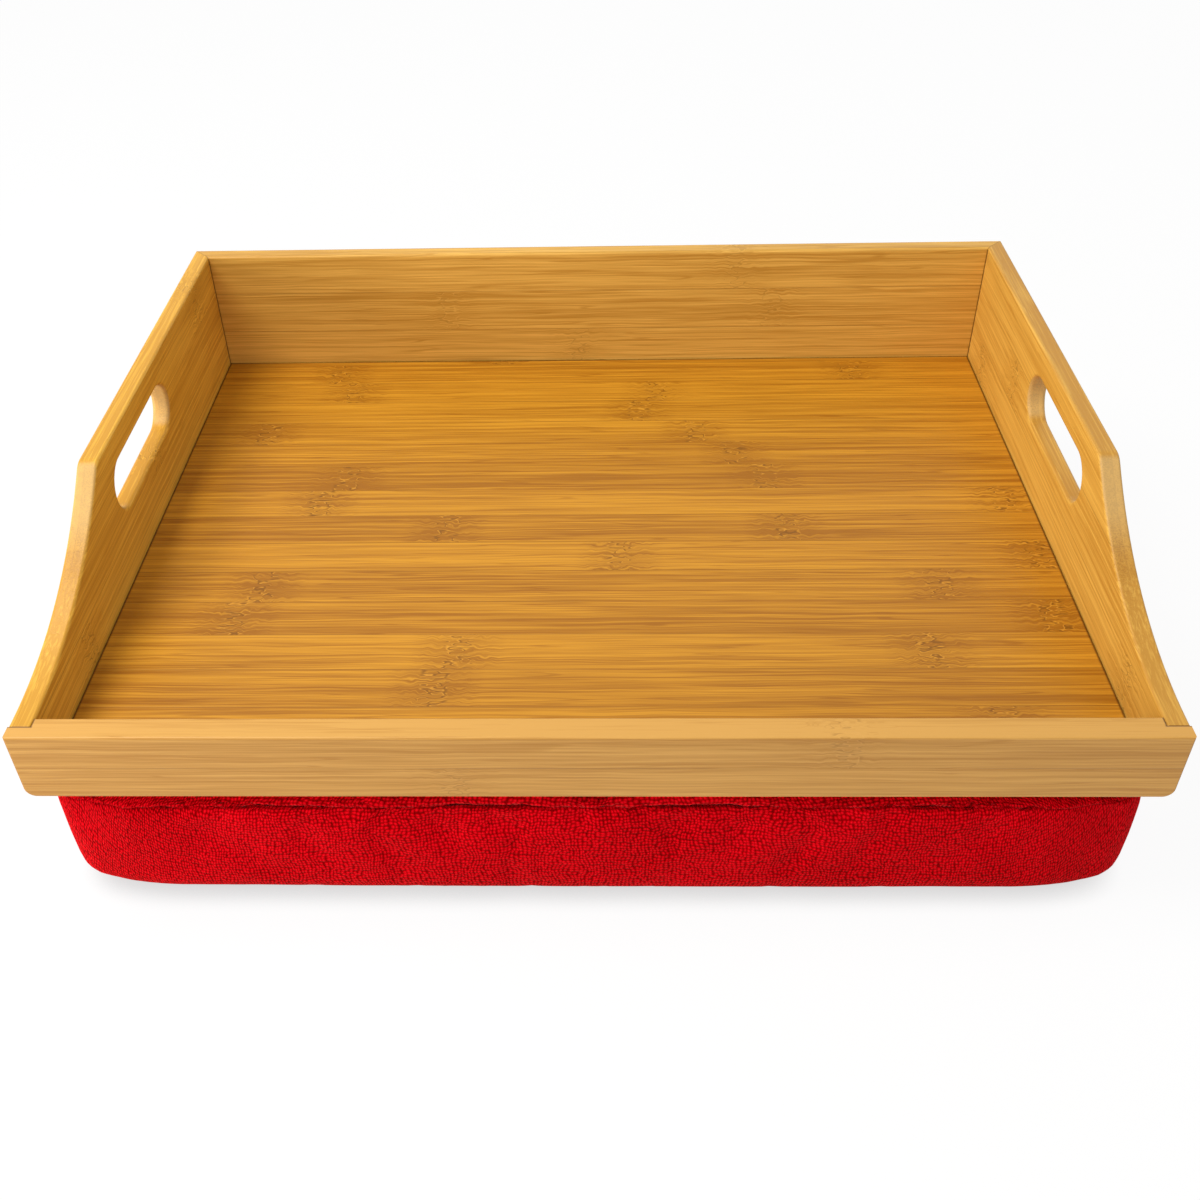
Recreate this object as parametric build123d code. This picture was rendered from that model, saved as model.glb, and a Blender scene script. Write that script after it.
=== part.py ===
"""Lap tray with cushion: a bamboo serving tray that lifts off a bead-filled cushion.

Millimetres. +X is to the right of someone facing the low front rail, +Y goes to the back rail
and +Z is up. The origin is under the middle of the object, on the surface that it stands on.
"""
from build123d import *
from math import asin, cos, radians, sin, sqrt
import os

os.makedirs("parts", exist_ok=True)

# Tray
tray_width = 444.0
tray_depth = 331.0
side_height = 75.0
front_height = 33.0
front_thick = 10.7
rail_thick = 9.0
rabbet_lip = 6.0
sweep_start = 10.0
sweep_radius = 172.0
shoulder_radius = 9.0
top_edge_radius = 1.4
small_edge_radius = 0.9
lower_corner_radius = 4.5

# Hand holes, placed from the tray's front face and lower edge
hole_length = 84.5
hole_height = 24.0
hole_from_front = 175.0
hole_from_bottom = 49.5
hole_edge_radius = 2.0

# Base panel, whose thinner tongue runs in grooves
panel_thick = 4.0
tongue_thick = 3.4
panel_recess = 4.4
groove_depth = 4.0
panel_end_gap = 0.5
panel_field_gap = 0.3

# Joinery that holds the tray together
brad_radius = 0.6
brad_length = 18.0
brad_head_radius = 1.1
brad_head_thick = 0.8
brad_heights = (13.0, 25.0)
spline_thick = 2.5
spline_width = 6.0
spline_height = 42.0
spline_from_bottom = 18.0

# Hook-and-loop pads and their staples
hook_thick = 1.6
loop_thick = 1.6
hook_length = 100.0
hook_width = 25.0
loop_margin = 4.0
pad_from_cushion_side = 111.0
pad_from_cushion_end = 67.0
staple_wire = 0.7
staple_crown = 12.0
staple_leg = 3.2
staple_from_end = 14.0

# Cushion
cushion_height = 67.0
cushion_overhang_x = 1.0
cushion_inset_y = 0.5
cover_thick = 2.4
bag_thick = 0.8
flat_cut = 0.5
roll_radius = 16.0
soft_corner_radius = 120.0
tight_corner_radius = 18.0
soft_corner_angle = 15.0
seam_drop = 8.0
seam_pinch = 1.2
belly_below_seam = 9.0
crown_inset = 34.0
upper_band_height = 3.8
upper_band_inset = 2.5

# Zip in the cushion's back wall
zip_length = 300.0
zip_height = 33.0
tape_width = 12.0
tape_thick = 0.8
tape_gap = 1.0
cover_slot = 10.0
cover_slot_end = 8.0
coil_width = 2.0
coil_height = 1.4
coil_crest_share = 0.4
coil_end = 12.0
stop_length = 3.0
stop_height = 1.8
slider_length = 9.0
slider_width = 8.0
slider_plate = 1.0
slider_gap = 0.25
slider_lip = 1.2
post_length = 2.0
post_thick = 0.5
slider_end_gap = 0.5
bridge_length = 6.4
bridge_width = 2.0
bridge_strap = 0.8
bridge_foot = 1.0
pull_length = 28.0
pull_width = 6.0
pull_thick = 1.2
pull_eye_length = 5.0
pull_bar = 1.2
pull_end_radius = 2.4
pull_hole_radius = 1.3
pull_gap = 0.2

# One overrun serves every cut
overrun = 5.0

# Places worked out from the sizes above
half_width = tray_width / 2
half_depth = tray_depth / 2
front_face = -half_depth
inner_x = half_width - rail_thick
inner_back = half_depth - rail_thick
inner_front = front_face + front_thick
rabbet_face = front_face + rabbet_lip
panel_underside = cushion_height + loop_thick + hook_thick
tray_bottom = panel_underside - panel_recess
panel_top = panel_underside + panel_thick
tray_top = tray_bottom + side_height
cushion_half_x = half_width + cushion_overhang_x
cushion_half_y = half_depth - cushion_inset_y
seam_height = tray_bottom - seam_drop


def block(x0, x1, y0, y1, z0, z1):
    """A box given by its limits."""
    size = Box(x1 - x0, y1 - y0, z1 - z0)
    return Pos((x0 + x1) / 2, (y0 + y1) / 2, (z0 + z1) / 2) * size


def save(name, shape):
    """Write one node, from one solid or a list of separate solids."""
    if isinstance(shape, list):
        shape = Compound(children=[s for part in shape for s in part.solids()])
    export_step(shape, f"parts/{name}.step")


def side_outline():
    """A side seen from the side: low at the front, one hollow sweep up to a rounded shoulder."""
    low = tray_bottom + front_height
    rise = side_height - front_height
    start = front_face + sweep_start
    reach = sqrt(sweep_radius ** 2 - (sweep_radius - rise) ** 2)
    half_turn = asin(reach / sweep_radius) / 2
    on_sweep = (start + sweep_radius * sin(half_turn), low + sweep_radius * (1 - cos(half_turn)))
    shoulder = (start + reach, tray_top)
    outline = [
        Line((rabbet_face, tray_bottom), (rabbet_face, low)),
        Line((rabbet_face, low), (start, low)),
        ThreePointArc((start, low), on_sweep, shoulder),
        Line(shoulder, (half_depth, tray_top)),
        Line((half_depth, tray_top), (half_depth, tray_bottom)),
        Line((half_depth, tray_bottom), (rabbet_face, tray_bottom)),
    ]
    face = make_face(outline)
    corner = face.vertices().sort_by_distance((*shoulder, 0))[0]
    return fillet(corner, shoulder_radius)


def panel_plate(reach, low, high):
    """A plate as large as the tray's inside, and larger by reach all round."""
    return block(-inner_x - reach, inner_x + reach, inner_front - reach, inner_back + reach, low, high)


def groove():
    """The slot for the base panel's tongue, as one plate that every rail is cut by."""
    return panel_plate(groove_depth, panel_underside, panel_underside + tongue_thick)


def mitre_spline(sign):
    """A loose strip across a back mitre, square to the joint."""
    strip = Box(spline_width, spline_thick, spline_height)
    middle = rail_thick / 2
    height = tray_bottom + spline_from_bottom + spline_height / 2
    return Pos(sign * (inner_x + middle), inner_back + middle, height) * Rot(0, 0, -45 * sign) * strip


def brad(sign, height):
    """A brad driven through a side into the end of the front rail."""
    across = (rabbet_face + inner_front) / 2
    shank = Cylinder(brad_radius, brad_length)
    head = Cylinder(brad_head_radius, brad_head_thick)
    along_x = Rot(0, 90, 0)
    shank_at = Pos(sign * (half_width - brad_length / 2), across, tray_bottom + height)
    head_at = Pos(sign * (half_width - brad_head_thick / 2), across, tray_bottom + height)
    return shank_at * along_x * shank + head_at * along_x * head


brads = [brad(sign, height) for sign in (-1, 1) for height in brad_heights]
splines = [mitre_spline(sign) for sign in (-1, 1)]


def cut_all(shape, tools):
    """A shape with every tool cut out of it."""
    for tool in tools:
        shape = shape - tool
    return shape


def on_level(edge, level):
    """True for an edge whose middle lies at a level."""
    return abs(edge.center().Z - level) < small_edge_radius / 2


def on_end(edge):
    """True for an edge on a side's front or back end."""
    return any(abs(edge.center().Y - end) < small_edge_radius / 2 for end in (rabbet_face, half_depth))


def is_face_edge(edge):
    """True for an edge that runs along the board's inner or outer face."""
    return edge.bounding_box().size.X < small_edge_radius / 2


def is_hole_rim(edge, middle):
    """True for an edge of the hand hole on either face."""
    centre = edge.center()
    near_y = abs(centre.Y - middle[0]) < hole_length / 2
    near_z = abs(centre.Z - middle[1]) < hole_height / 2 + small_edge_radius
    return is_face_edge(edge) and near_y and near_z


def right_side():
    """The right side: swept top, eased edges, hand hole, mitred back end and panel groove."""
    board = extrude(Plane.YZ.offset(inner_x) * side_outline(), rail_thick)
    upper = [e for e in board.edges() if is_face_edge(e) and not on_end(e) and not on_level(e, tray_bottom)]
    board = fillet(upper, top_edge_radius)
    outer_bottom = board.edges().filter_by(Axis.Y).sort_by(Axis.Z)[:2].sort_by(Axis.X)[-1]
    board = fillet(outer_bottom, lower_corner_radius)
    middle = (front_face + hole_from_front, tray_bottom + hole_from_bottom)
    slot = Plane.YZ.offset(inner_x - overrun) * Pos(*middle) * SlotOverall(hole_length, hole_height)
    board = board - extrude(slot, rail_thick + 2 * overrun)
    rims = [e for e in board.edges() if is_hole_rim(e, middle)]
    board = fillet(rims, hole_edge_radius)
    plan = make_face(Polyline((inner_x, rabbet_face), (half_width, rabbet_face), (half_width, half_depth),
                              (inner_x, inner_back), close=True))
    board = board & extrude(Pos(0, 0, tray_bottom) * plan, side_height)
    return cut_all(board, [groove()] + brads + splines)


def front_rail():
    """The low front rail: full width, with a rabbet at each end that takes a side."""
    rail = block(-half_width, half_width, front_face, inner_front, tray_bottom, tray_bottom + front_height)
    lower = rail.edges().filter_by(Axis.Y).group_by(Axis.Z)[0]
    rail = fillet(lower, lower_corner_radius)
    front = [e for e in rail.faces().sort_by(Axis.Y)[0].edges()]
    rail = fillet(front, small_edge_radius)
    inner_top = rail.edges().filter_by(Axis.X).group_by(Axis.Z)[-1].sort_by(Axis.Y)[-1]
    rail = fillet(inner_top, small_edge_radius)
    for sign in (-1, 1):
        near, far = sorted((sign * inner_x, sign * (half_width + overrun)))
        rail = rail - block(near, far, rabbet_face, inner_front + overrun,
                            tray_bottom - overrun, tray_bottom + front_height + overrun)
    return cut_all(rail, [groove()] + brads)


def back_rail():
    """The tall back rail, mitred at both ends."""
    rail = block(-half_width, half_width, inner_back, half_depth, tray_bottom, tray_top)
    along = rail.edges().filter_by(Axis.X)
    rail = fillet(along.group_by(Axis.Z)[-1], top_edge_radius)
    outer_bottom = rail.edges().filter_by(Axis.X).group_by(Axis.Z)[0].sort_by(Axis.Y)[-1]
    rail = fillet(outer_bottom, lower_corner_radius)
    plan = make_face(Polyline((-inner_x, inner_back), (inner_x, inner_back), (half_width, half_depth),
                              (-half_width, half_depth), close=True))
    rail = rail & extrude(Pos(0, 0, tray_bottom) * plan, side_height)
    return cut_all(rail, [groove()] + splines)


def staple(x, y):
    """A staple driven up through a hook pad, its crown sunk level with the pad's face."""
    low = panel_underside - hook_thick
    legs = [block(x - staple_wire / 2, x + staple_wire / 2, y + sign * staple_crown / 2 - staple_wire / 2,
                  y + sign * staple_crown / 2 + staple_wire / 2, low, low + staple_leg) for sign in (-1, 1)]
    crown = block(x - staple_wire / 2, x + staple_wire / 2, y - (staple_crown + staple_wire) / 2,
                  y + (staple_crown + staple_wire) / 2, low, low + staple_wire)
    return crown + legs[0] + legs[1]


def pad(x, y, length, width, low, high):
    """A flat pad with its corners rounded."""
    plan = RectangleRounded(length, width, loop_margin)
    return extrude(Pos(x, y, low) * plan, high - low)


def corner_run():
    """How far a plan corner reaches along each side: soft arc, tight arc, soft arc."""
    turn = radians(soft_corner_angle)
    soft = soft_corner_radius * (sin(turn) + 1 - cos(turn))
    return soft + tight_corner_radius * (cos(turn) - sin(turn))


def plan_section(inset, height, extra):
    """One level of the cushion: a rectangle with three-centred corners."""
    half_x = cushion_half_x - inset - extra
    half_y = cushion_half_y - inset - extra
    run = corner_run()
    turn = soft_corner_angle
    sketch = []
    here = Vector(half_x, -half_y + run)
    heading = 90
    for straight in (2 * (half_y - run), 2 * (half_x - run)) * 2:
        ahead = Vector(cos(radians(heading)), sin(radians(heading)))
        there = here + ahead * straight
        sketch.append(Line(here, there))
        here = there
        for radius, angle in ((soft_corner_radius, turn), (tight_corner_radius, 90 - 2 * turn),
                              (soft_corner_radius, turn)):
            ahead = Vector(cos(radians(heading)), sin(radians(heading)))
            arc = JernArc(here, ahead, radius, angle)
            sketch.append(arc)
            here = arc @ 1
            heading += angle
    return Pos(0, 0, height) * make_face(sketch)


roll_angles = range(90, -1, -10)
lower_profile = [(roll_radius * (1 - cos(radians(a))), roll_radius * (1 - sin(radians(a))) - flat_cut)
                 for a in roll_angles]
lower_profile += [(0, seam_height - belly_below_seam), (seam_pinch, seam_height)]
crown_angles = range(0, 91, 15)
band_top = seam_height + upper_band_height
upper_profile = [(seam_pinch, seam_height)]
upper_profile += [(upper_band_inset + (crown_inset - upper_band_inset) * (1 - cos(radians(a))),
                   band_top + (cushion_height - band_top) * sin(radians(a))) for a in crown_angles]


def cushion_form(extra):
    """The cushion's closed form, drawn in all round by extra, as a lower and an upper loft."""
    squeeze = (cushion_height - 2 * extra) / cushion_height

    def level(height):
        return extra + height * squeeze

    lower = loft([plan_section(inset, level(height), extra) for inset, height in lower_profile], ruled=True)
    upper = loft([plan_section(inset, level(height), extra) for inset, height in upper_profile], ruled=True)
    return lower, upper


def above(level):
    """Everything over a level, as a cutting block."""
    return block(-tray_width, tray_width, -tray_depth, tray_depth, level, level + tray_top)


def below(level):
    """Everything under a level, as a cutting block."""
    return block(-tray_width, tray_width, -tray_depth, tray_depth, level - tray_top, level)


def cushion_layers():
    """Cover, inner bag and filling, each fitting the next, cut flat where the cushion stands."""
    cover_low, cover_high = cushion_form(0)
    bag_low, bag_high = cushion_form(cover_thick)
    fill_low, fill_high = cushion_form(cover_thick + bag_thick)
    bag = bag_low + bag_high
    filling = fill_low + fill_high
    bag_seam = seam_height / 2
    shell = bag - filling
    return {
        "cover_body": cover_low - bag - below(0),
        "cover_top": cover_high - bag,
        "inner_bag_lower": shell - above(bag_seam),
        "inner_bag_upper": shell - below(bag_seam),
        "bead_filling": filling,
    }


# Zip, placed from the back wall of the cushion
wall_y = cushion_half_y
tape_face = wall_y
tape_back = wall_y - tape_thick
coil_top = tape_face + coil_height
plate_low = coil_top + slider_gap
plate_high = plate_low + slider_plate
pull_axis_y = plate_high + pull_gap + pull_thick / 2
bridge_low = pull_axis_y + pull_bar / 2 + pull_gap
coil_half = zip_length / 2 - coil_end
slider_x = coil_half - slider_length / 2 - slider_end_gap
zip_travel = 2 * slider_x


def zip_tape(sign):
    """One woven tape, sunk level with the cover."""
    near = zip_height + sign * tape_gap / 2
    far = near + sign * tape_width
    low, high = sorted((near, far))
    return block(-zip_length / 2, zip_length / 2, tape_back, tape_face, low, high)


def zip_coil(sign):
    """One coil on its tape, half round in section."""
    near = zip_height + sign * tape_gap / 2
    low, high = sorted((near, near + sign * coil_width))
    bar = block(-coil_half, coil_half, tape_face, coil_top, low, high)
    crest = bar.edges().filter_by(Axis.X).group_by(Axis.Y)[-1]
    return fillet(crest, coil_width * coil_crest_share)


def zip_stop(sign):
    """A stop clamped over the end of both coils."""
    near = sign * coil_half
    left, right = sorted((near, near + sign * stop_length))
    reach = tape_gap / 2 + coil_width
    return block(left, right, tape_face, tape_face + stop_height, zip_height - reach, zip_height + reach)


def zip_slider():
    """Outer and inner plates joined by a post, lips along the coils and a bridge for the pull."""
    half = slider_width / 2
    left = slider_x - slider_length / 2
    right = slider_x + slider_length / 2
    outer = block(left, right, plate_low, plate_high, zip_height - half, zip_height + half)
    corners = outer.edges().filter_by(Axis.Y)
    outer = fillet(corners, slider_lip)
    inner_high = tape_back - slider_gap
    inner = block(left, right, inner_high - slider_plate, inner_high, zip_height - half, zip_height + half)
    inner = fillet(inner.edges().filter_by(Axis.Y), slider_lip)
    post = block(slider_x - post_length / 2, slider_x + post_length / 2,
                 inner_high - slider_plate, plate_high,
                 zip_height - post_thick / 2, zip_height + post_thick / 2)
    body = outer + inner + post
    for sign in (-1, 1):
        low, high = sorted((zip_height + sign * half, zip_height + sign * (half - slider_lip)))
        body = body + block(left + slider_lip, right - slider_lip,
                            tape_face + slider_gap, plate_high, low, high)
    bridge_left = slider_x - bridge_length / 2
    bridge_right = slider_x + bridge_length / 2
    low, high = zip_height - bridge_width / 2, zip_height + bridge_width / 2
    strap = block(bridge_left, bridge_right, bridge_low, bridge_low + bridge_strap, low, high)
    strap = fillet(strap.edges().filter_by(Axis.Z).group_by(Axis.Y)[-1], bridge_strap / 2)
    body = body + strap
    for edge in (bridge_left, bridge_right - bridge_foot):
        body = body + block(edge, edge + bridge_foot, plate_low, bridge_low + bridge_strap / 2, low, high)
    return body


def zip_pull():
    """A flat tab on a round bar that turns under the slider's bridge."""
    low, high = zip_height - pull_width / 2, zip_height + pull_width / 2
    tip = slider_x + pull_length
    tab = block(slider_x, tip, pull_axis_y - pull_thick / 2, pull_axis_y + pull_thick / 2, low, high)
    tab = fillet(tab.edges().filter_by(Axis.Y).group_by(Axis.X)[-1], pull_end_radius)
    eye = block(slider_x - overrun, slider_x + pull_eye_length,
                pull_axis_y - pull_thick, pull_axis_y + pull_thick, low + pull_bar, high - pull_bar)
    tab = tab - eye
    bar = Pos(slider_x, pull_axis_y, zip_height) * Cylinder(pull_bar / 2, pull_width)
    hole_at = Pos(tip - pull_end_radius - pull_hole_radius, pull_axis_y, zip_height)
    hole = hole_at * Rot(90, 0, 0) * Cylinder(pull_hole_radius, 2 * pull_thick)
    return tab + bar - hole


def cushion_nodes():
    """The cushion's layers, with the zip's seat and slot cut in the cover."""
    layers = cushion_layers()
    seat_reach = tape_gap / 2 + tape_width
    seat = block(-zip_length / 2, zip_length / 2, tape_back, wall_y + overrun,
                 zip_height - seat_reach, zip_height + seat_reach)
    slot_half = zip_length / 2 - cover_slot_end
    slot = block(-slot_half, slot_half, wall_y - cover_thick, wall_y + overrun,
                 zip_height - cover_slot / 2, zip_height + cover_slot / 2)
    layers["cover_body"] = layers["cover_body"] - seat - slot
    return layers


def pad_places():
    """The middles of the four pads, one near each corner of the cushion."""
    x = cushion_half_x - pad_from_cushion_side
    y = cushion_half_y - pad_from_cushion_end
    return [(sx * x, sy * y) for sy in (-1, 1) for sx in (-1, 1)]


# Tray
side = right_side()
save("right_side", side)
save("left_side", mirror(side, Plane.YZ))
save("front_rail", front_rail())
save("back_rail", back_rail())
save("front_corner_brads", brads)
save("mitre_splines", splines)

staples = []
for x, y in pad_places():
    for sign in (-1, 1):
        staples.append(staple(x + sign * (hook_length / 2 - staple_from_end), y))
tongue = panel_plate(groove_depth - panel_end_gap, panel_underside, panel_underside + tongue_thick)
field = panel_plate(-panel_field_gap, panel_underside, panel_top)
save("base_panel", cut_all(tongue + field, staples))
save("hook_pad_staples", staples)
for number, (x, y) in enumerate(pad_places(), 1):
    hook = pad(x, y, hook_length, hook_width, panel_underside - hook_thick, panel_underside)
    save(f"hook_pad_{number}", cut_all(hook, staples))
    loop = pad(x, y, hook_length + 2 * loop_margin, hook_width + 2 * loop_margin,
               cushion_height, cushion_height + loop_thick)
    save(f"loop_pad_{number}", loop)

# Cushion
for name, shape in cushion_nodes().items():
    save(name, shape)
save("zip_tape_upper", zip_tape(1))
save("zip_tape_lower", zip_tape(-1))
save("zip_coil_upper", zip_coil(1))
save("zip_coil_lower", zip_coil(-1))
save("zip_stops", [zip_stop(sign) for sign in (-1, 1)])
save("zip_slider", zip_slider())
save("zip_pull", zip_pull())

print("tray bottom", round(tray_bottom, 3), "panel top", round(panel_top, 3), "top", round(tray_top, 3))
print("zip slider at", round(slider_x, 3), "travel", round(zip_travel, 3))
print("pull axis", round(slider_x, 3), round(pull_axis_y, 3), round(zip_height, 3))
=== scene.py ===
# %% [markdown]
# A lap tray with a bead cushion, dressed for a photograph. The tray is made of lacquered bamboo
# boards, and its cushion has a red terry cover with a zip at the back. The solids come from a CAD
# model that is already in place, so this lesson adds what CAD leaves out: grain, cloth and thread.

# %% Load the CAD model
import math

import bmesh
import bpy
import numpy as np
from mathutils import Matrix
from mathutils import Vector


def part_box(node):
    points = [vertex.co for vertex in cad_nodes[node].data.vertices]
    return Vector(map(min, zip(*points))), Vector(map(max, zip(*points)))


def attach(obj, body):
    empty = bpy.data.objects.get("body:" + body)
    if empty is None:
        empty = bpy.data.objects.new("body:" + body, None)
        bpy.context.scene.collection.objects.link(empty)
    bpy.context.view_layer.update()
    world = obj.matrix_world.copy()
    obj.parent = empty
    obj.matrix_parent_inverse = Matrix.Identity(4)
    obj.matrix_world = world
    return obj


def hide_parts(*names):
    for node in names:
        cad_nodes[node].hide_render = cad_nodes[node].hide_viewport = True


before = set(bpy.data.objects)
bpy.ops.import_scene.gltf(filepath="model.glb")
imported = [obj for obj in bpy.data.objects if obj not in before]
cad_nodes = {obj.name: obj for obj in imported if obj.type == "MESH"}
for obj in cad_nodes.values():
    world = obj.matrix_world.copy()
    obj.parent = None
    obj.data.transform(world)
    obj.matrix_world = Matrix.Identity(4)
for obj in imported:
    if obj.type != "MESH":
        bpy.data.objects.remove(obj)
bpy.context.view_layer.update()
scene = bpy.context.scene
bpy.ops.object.select_all(action="DESELECT")


def place_object(name, data):
    """Wrap a mesh, lamp or camera in an object and put it into the scene."""
    made = bpy.data.objects.new(name, data)
    scene.collection.objects.link(made)
    return made


# %% [markdown]
# The camera stands in front of the low rail and looks down into the tray from close by, which
# makes the front edge much wider than the back one. Its place and its three turns were solved from
# the tray's corners. A small sideways and upward shift of the lens keeps the upright lines as they
# are, where turning the camera further would have changed them.

# %% Camera
camera_place = Vector((0.00708, -0.49858, 0.45025))
camera_pitch = math.radians(38.548)
camera_yaw = math.radians(-2.288)
camera_roll = math.radians(-1.718)
camera_lens = 38.742
camera_shift = (0.02607, -0.03534)
ahead = Vector((math.sin(camera_yaw) * math.cos(camera_pitch),
                math.cos(camera_yaw) * math.cos(camera_pitch),
                -math.sin(camera_pitch)))
level_right = Vector((math.cos(camera_yaw), -math.sin(camera_yaw), 0))
level_up = level_right.cross(ahead)
right = level_right * math.cos(camera_roll) + level_up * math.sin(camera_roll)
up = level_up * math.cos(camera_roll) - level_right * math.sin(camera_roll)

camera_data = bpy.data.cameras.new("camera")
camera_data.sensor_width = 36
camera_data.lens = camera_lens
camera_data.shift_x, camera_data.shift_y = camera_shift
camera_data.clip_start = 0.01
camera_data.dof.use_dof = False
camera = place_object("camera", camera_data)
turned = Matrix((right, up, -ahead)).transposed().to_4x4()
camera.matrix_world = Matrix.Translation(camera_place) @ turned
scene.camera = camera
print("camera", round(math.degrees(camera_pitch), 1), "degrees down, lens", camera_data.lens)

# %% [markdown]
# Shader maths is easier to read as ordinary sums. A Wire stands for one socket, and adding or
# multiplying wires adds the Math nodes. Its node method adds every other kind of node: it sets
# what the node is first, and then fills or links its sockets.

# %% A wire for shader sums
class Wire:
    """One output socket of a shader tree, or just the tree when a pattern begins."""

    def __init__(self, tree, socket=None):
        self.tree = tree
        self.socket = socket

    def node(self, kind, settings=None, inputs=None, output=0):
        """Add a node of any kind, set it up, fill its sockets and return one output."""
        made = self.tree.nodes.new(kind)
        for name, value in (settings or {}).items():
            setattr(made, name, value)
        for key, value in (inputs or {}).items():
            if isinstance(value, Wire):
                self.tree.links.new(value.socket, made.inputs[key])
            else:
                made.inputs[key].default_value = value
        return Wire(self.tree, made.outputs[output])

    def place(self):
        """The place on the object, in its own coordinates."""
        return self.node("ShaderNodeTexCoord", output="Object")

    def part(self, number):
        """A vector's x, y or z, by number from 0."""
        return self.node("ShaderNodeSeparateXYZ", {}, {0: self}, output=number)

    def ramp(self, stops, interpolation="LINEAR"):
        """The colour for this value on a ramp of rising (position, colour) stops."""
        colour_wire = self.node("ShaderNodeValToRGB", {}, {0: self})
        ramp = colour_wire.socket.node.color_ramp
        ramp.interpolation = interpolation
        for element, (position, colour) in zip(ramp.elements, (stops[0], stops[-1])):
            element.position = position
            element.color = (*colour, 1)
        for position, colour in stops[1:-1]:
            ramp.elements.new(position).color = (*colour, 1)
        return colour_wire

    def maths(self, operation, *terms):
        """A Math node on the terms, or on this wire alone when there are none."""
        return self.node("ShaderNodeMath", {"operation": operation}, dict(enumerate(terms or (self,))))

    def larger(self, other):
        return self.maths("MAXIMUM", self, other)

    def smaller(self, other):
        return self.maths("MINIMUM", self, other)

    def __add__(self, other):
        return self.maths("ADD", self, other)

    __radd__ = __add__

    def __sub__(self, other):
        return self.maths("SUBTRACT", self, other)

    def __rsub__(self, other):
        return self.maths("SUBTRACT", other, self)

    def __mul__(self, other):
        return self.maths("MULTIPLY", self, other)

    __rmul__ = __mul__

    def __truediv__(self, other):
        return self.maths("DIVIDE", self, other)

    def __abs__(self):
        return self.maths("ABSOLUTE")


def smooth(value, low, high):
    """0 below low, 1 above high, with a soft step between them."""
    return value.node("ShaderNodeMapRange", {"interpolation_type": "SMOOTHSTEP"},
                      {"Value": value, "From Min": low, "From Max": high})


def hump(distance, reach):
    """1 at no distance, 0 from reach on."""
    share = distance / reach
    return (1 - share * share).larger(0.0)


def noise(vector, scale=1.0, detail=1.0, roughness=0.5):
    """Blender's cloudy noise, from 0 to 1, most of it near a half."""
    return vector.node("ShaderNodeTexNoise", {},
                       {"Vector": vector, "Scale": scale, "Detail": detail, "Roughness": roughness})


def pack(x, y, z):
    """Three numbers as one vector."""
    return x.node("ShaderNodeCombineXYZ", {}, {0: x, 1: y, 2: z})


def mix(factor, first, second):
    """Two colours mixed by a factor."""
    return factor.node("ShaderNodeMix", {"data_type": "RGBA"},
                       {0: factor, 6: first, 7: second}, output=2)


def new_material(name, values):
    """A material, its Principled shader with these values, and a wire to begin a pattern with."""
    material = bpy.data.materials.new(name)
    material.use_nodes = True
    shader = material.node_tree.nodes["Principled BSDF"]
    for socket, value in values.items():
        shader.inputs[socket].default_value = value
    return material, shader, Wire(material.node_tree)


def feed(wire, shader, socket):
    """Link a wire to one of the shader's sockets."""
    wire.tree.links.new(wire.socket, shader.inputs[socket])


def coat(shader, colour, height, strength, distance):
    """Give a shader its colour, and let a height pattern lift its shading."""
    feed(colour, shader, "Base Color")
    normal = height.node("ShaderNodeBump", {},
                         {"Strength": strength, "Distance": distance, "Height": height})
    feed(normal, shader, "Normal")


print("shader helpers ready")

# %% [markdown]
# The object stands on white paper under soft light that comes from the upper left. A large disk
# lamp gives the direction, a weak one low on the left brings out the cushion's near corner, and
# the sky fills in the rest. The paper shows almost white because camera rays see mostly its own
# white, and only a share of it takes the light. That white darkens where something stands close
# over it, so a narrow shadow shows where the cushion meets the paper. Metal mirrors the same white.

# %% Light, sky and paper
scene.view_settings.view_transform = "Standard"
lamp_tint = (1.0, 0.985, 0.96)


def disk_lamp(name, place, aim, size, energy):
    """A round soft lamp at a place, turned to face a point."""
    data = bpy.data.lights.new(name, "AREA")
    data.shape = "DISK"
    data.size = size
    data.energy = energy
    data.color = lamp_tint
    lamp = place_object(name, data)
    lamp.location = place
    lamp.rotation_euler = (Vector(aim) - Vector(place)).to_track_quat("-Z", "Y").to_euler()
    return lamp


key_lamp = disk_lamp("high_left", (-0.66, -0.12, 1.22), (0, 0, 0.05), 0.70, 13.6)
side_lamp = disk_lamp("low_left", (-0.86, -0.48, 0.20), (-0.1, -0.1, 0.05), 0.45, 4.6)

sky_strength = 0.66
mirrored_sky = 0.85
world = bpy.data.worlds.new("sky")
world.use_nodes = True
scene.world = world
background = world.node_tree.nodes["Background"]
background.inputs["Color"].default_value = (1, 1, 1, 1)
rays = Wire(world.node_tree)
is_camera = rays.node("ShaderNodeLightPath", output="Is Camera Ray")
is_glossy = rays.node("ShaderNodeLightPath", output="Is Glossy Ray")
strength = sky_strength + is_camera * (1 - sky_strength) + is_glossy * (mirrored_sky - sky_strength)
rays.tree.links.new(strength.socket, background.inputs["Strength"])

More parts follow.
